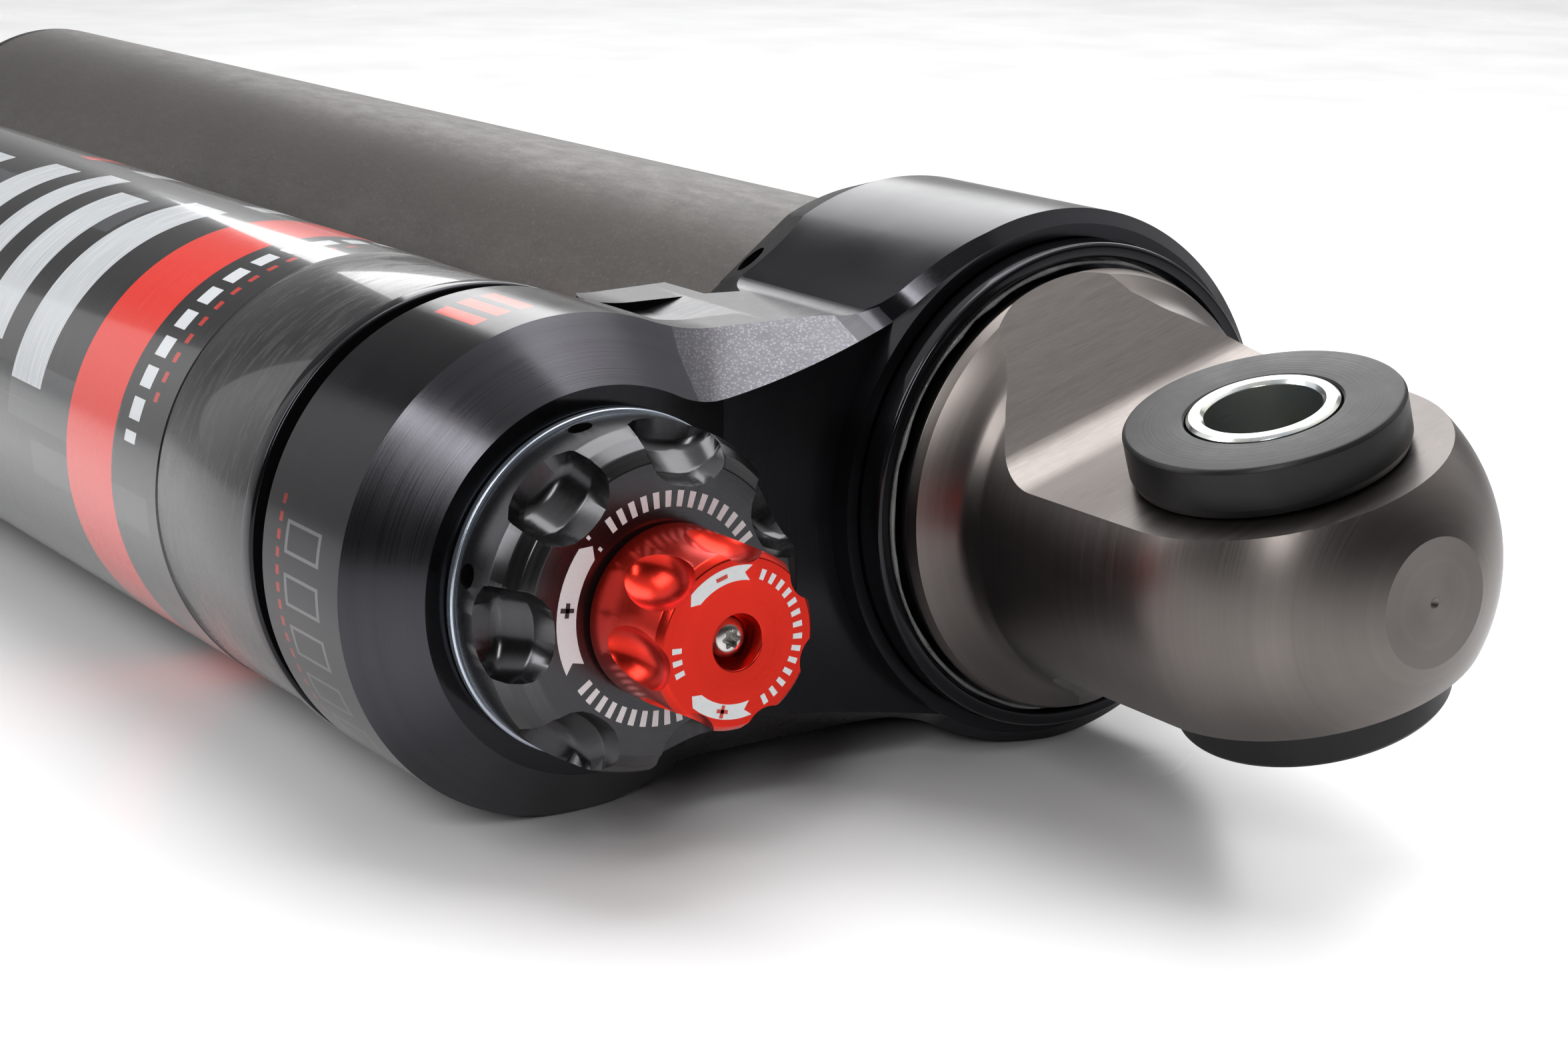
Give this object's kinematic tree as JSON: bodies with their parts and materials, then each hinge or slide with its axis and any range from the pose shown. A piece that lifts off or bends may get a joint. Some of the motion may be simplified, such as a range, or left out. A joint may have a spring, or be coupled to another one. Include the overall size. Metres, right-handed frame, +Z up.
{
  "type": "piggyback reservoir shock absorber",
  "caption": "Off-road vehicle shock absorber with a piggyback gas reservoir joined by a machined bridge, a two-knob compression adjuster and bushed eyes at both ends, fully extended.",
  "frame": {"origin": "on the floor under the middle of the bounding box, midway between the two eyes of the shock lying on its bridge's two rings", "axes": "+X along the shock towards the upper, fixed eye; +Y across, from the reservoir's axis to the body's; +Z up from the floor"},
  "size_m": [0.8638, 0.1522, 0.0814],
  "materials": {
    "black_anodise": "black hard-anodised aluminium, satin with bright machined chamfers",
    "grey_anodise": "warm grey hard-anodised aluminium with fine turning marks",
    "gunmetal_anodise": "dark blue-grey anodised aluminium",
    "red_anodise": "bright red anodised aluminium",
    "body_finish": "matte dark grey coating on steel tube",
    "urethane": "satin black cast urethane",
    "rubber_seal": "matte black rubber",
    "clear_seal": "clear glossy seal bead",
    "zinc_steel": "bright zinc-plated steel",
    "spring_steel": "bare hardened steel",
    "hard_chrome": "polished hard chrome",
    "bronze": "bearing bronze",
    "bare_alloy": "clear anodised aluminium"
  },
  "bodies": {
    "body": {"bridge": "black_anodise", "cap_lock_ring": "black_anodise", "cap_seal_ring": "clear_seal", "upper_eye_cap": "grey_anodise", "upper_bushing_top": "urethane", "upper_bushing_bottom": "urethane", "body_tube": "body_finish", "seal_head": "black_anodise", "seal_head_o_ring": "rubber_seal", "shaft_guide_bushing": "bronze", "shaft_seal": "rubber_seal", "shaft_wiper": "rubber_seal", "seal_head_wire_ring": "spring_steel", "body_end_cap": "black_anodise", "reservoir_tube": "black_anodise", "reservoir_lock_ring": "black_anodise", "reservoir_end_cap": "black_anodise", "reservoir_end_o_ring": "rubber_seal", "reservoir_wire_ring": "spring_steel", "gas_valve": "zinc_steel", "gas_valve_cap": "gunmetal_anodise", "adjuster_housing": "bare_alloy", "adjuster_o_ring": "rubber_seal", "high_speed_valve_plate": "spring_steel", "high_speed_disc_spring": "spring_steel"},
    "shaft": {"shaft": "hard_chrome", "main_piston": "bronze", "piston_wear_band": "urethane", "compression_shims": "spring_steel", "rebound_shims": "spring_steel", "top_out_spacer": "bare_alloy", "piston_nut": "spring_steel", "bump_stop": "urethane", "bump_stop_cup": "black_anodise", "shaft_jam_nut": "zinc_steel", "lower_eye": "grey_anodise", "lower_bushing_top": "urethane", "lower_bushing_bottom": "urethane"},
    "floating_piston": {"floating_piston": "bare_alloy", "floating_piston_o_ring": "rubber_seal", "floating_piston_band": "urethane"},
    "high_speed_knob": {"high_speed_knob": "gunmetal_anodise", "knob_set_screw_1": "spring_steel", "knob_set_screw_2": "spring_steel"},
    "high_speed_collar": {"high_speed_collar": "bronze"},
    "low_speed_knob": {"low_speed_knob": "red_anodise", "low_speed_knob_screw": "spring_steel"},
    "low_speed_needle": {"low_speed_needle": "spring_steel"},
    "upper_sleeve": {"upper_sleeve": "zinc_steel"},
    "lower_sleeve": {"lower_sleeve": "zinc_steel"}
  },
  "joints": [
    {"name": "shaft_slide", "type": "slide", "parent": "body", "child": "shaft", "axis": [1, 0, 0], "range_m": [0, 0.28], "stiffness_N_per_m": 400, "springref_m": -0.1},
    {"name": "floating_piston_slide", "type": "slide", "parent": "body", "child": "floating_piston", "axis": [-1, 0, 0], "range_m": [0, 0.0385]},
    {"name": "high_speed_turn", "type": "hinge", "parent": "body", "child": "high_speed_knob", "pos_m": [0.36, -0.04061, 0.0358], "axis": [1, 0, 0], "range_deg": [-360, 360]},
    {"name": "high_speed_collar_slide", "type": "slide", "parent": "body", "child": "high_speed_collar", "axis": [1, 0, 0], "range_m": [-0.0011, 0.0011]},
    {"name": "low_speed_turn", "type": "hinge", "parent": "body", "child": "low_speed_knob", "pos_m": [0.38, -0.04061, 0.0358], "axis": [1, 0, 0], "range_deg": [-270, 270]},
    {"name": "low_speed_needle_slide", "type": "slide", "parent": "body", "child": "low_speed_needle", "axis": [1, 0, 0], "range_m": [-0.0007, 0.0007]},
    {"name": "upper_sleeve_turn", "type": "hinge", "parent": "body", "child": "upper_sleeve", "pos_m": [0.405, 0.03571, 0.0407], "axis": [0, -0.2825, 0.9593], "continuous": true},
    {"name": "lower_sleeve_turn", "type": "hinge", "parent": "shaft", "child": "lower_sleeve", "pos_m": [-0.405, 0.03571, 0.0407], "axis": [0, -0.2825, 0.9593], "continuous": true}
  ],
  "couplings": [
    {"joint": "floating_piston_slide", "follows": "shaft_slide", "ratio": 0.13509},
    {"joint": "high_speed_collar_slide", "follows": "high_speed_turn", "m_per_rad": 0.000159},
    {"joint": "low_speed_needle_slide", "follows": "low_speed_turn", "m_per_rad": 0.000127}
  ]
}
